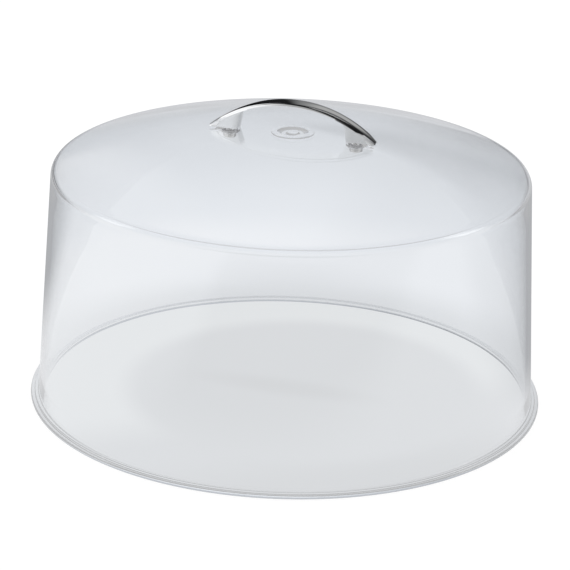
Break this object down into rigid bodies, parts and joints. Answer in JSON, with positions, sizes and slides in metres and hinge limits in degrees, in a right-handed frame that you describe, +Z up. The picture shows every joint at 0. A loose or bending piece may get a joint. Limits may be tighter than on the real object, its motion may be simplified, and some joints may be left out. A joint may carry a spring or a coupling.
{
  "type": "cake dome",
  "caption": "Clear round cake cover with a drafted wall, a crowned top and a stepped rim, lifted by a chrome bow handle screwed on from inside.",
  "frame": {"origin": "centre of the rim's bottom plane, on the shell's axis", "axes": "+Z up along the shell's axis, X along the handle, Y across it"},
  "size_m": [0.3048, 0.3048, 0.181],
  "materials": {
    "clear_shell": "clear, polished",
    "chrome_handle": "mirror-bright plating",
    "bright_washers": "bright zinc",
    "bright_screws": "bright nickel"
  },
  "bodies": {
    "root": {"dome": "clear_shell", "handle": "chrome_handle", "washers": "bright_washers", "screws": "bright_screws"}
  },
  "joints": []
}
